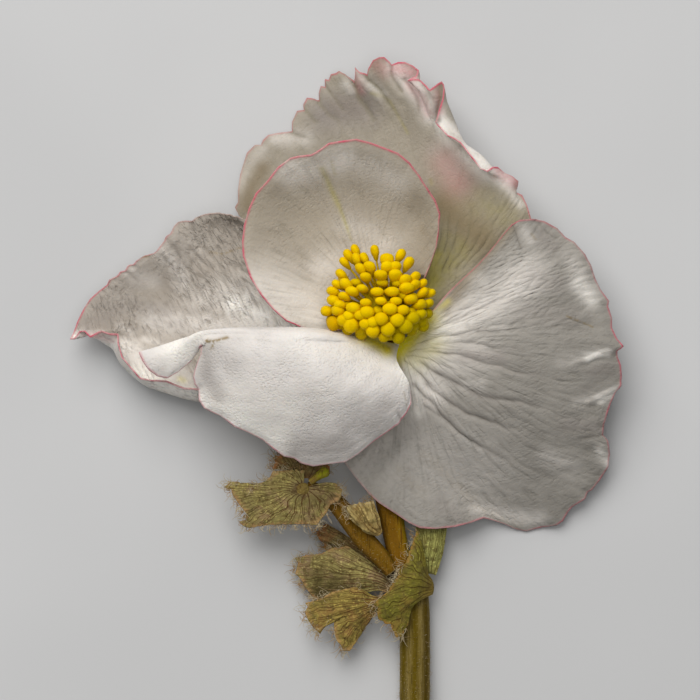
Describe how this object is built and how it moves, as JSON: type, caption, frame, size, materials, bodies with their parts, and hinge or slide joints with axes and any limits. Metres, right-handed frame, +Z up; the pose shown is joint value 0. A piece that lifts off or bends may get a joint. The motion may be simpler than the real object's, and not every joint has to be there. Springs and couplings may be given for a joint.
{
  "type": "begonia flower",
  "caption": "Single white begonia flower with thin pink petal edges, yellow stamens and fringed bracts, lying face up with its cut stem.",
  "frame": {"origin": "middle of the bounding box's underside, on the surface the flower lies on", "axes": "+Z up, out of the face of the flower; +Y along the stem towards the flower; +X to the right of the flower's face"},
  "size_m": [0.0822, 0.1014, 0.021],
  "materials": {
    "petal": "satin",
    "stamen": "satin",
    "receptacle": "satin",
    "stem": "satin",
    "pedicel": "satin",
    "bract": "matte",
    "dry_bract": "matte"
  },
  "bodies": {
    "root": {"receptacle": "receptacle", "petal_back": "petal", "petal_inner": "petal", "petal_left": "petal", "petal_right": "petal", "petal_front": "petal", "stamens": "stamen", "stem": "stem", "pedicel_flower": "pedicel", "pedicel_side": "pedicel", "pedicel_stub": "pedicel", "bract_clasp": "bract", "bract_right": "bract", "bract_middle": "bract", "bract_curl": "dry_bract", "bract_lower": "bract", "bract_papery": "dry_bract", "bract_upper": "bract", "bract_upper_back": "dry_bract"}
  },
  "joints": []
}
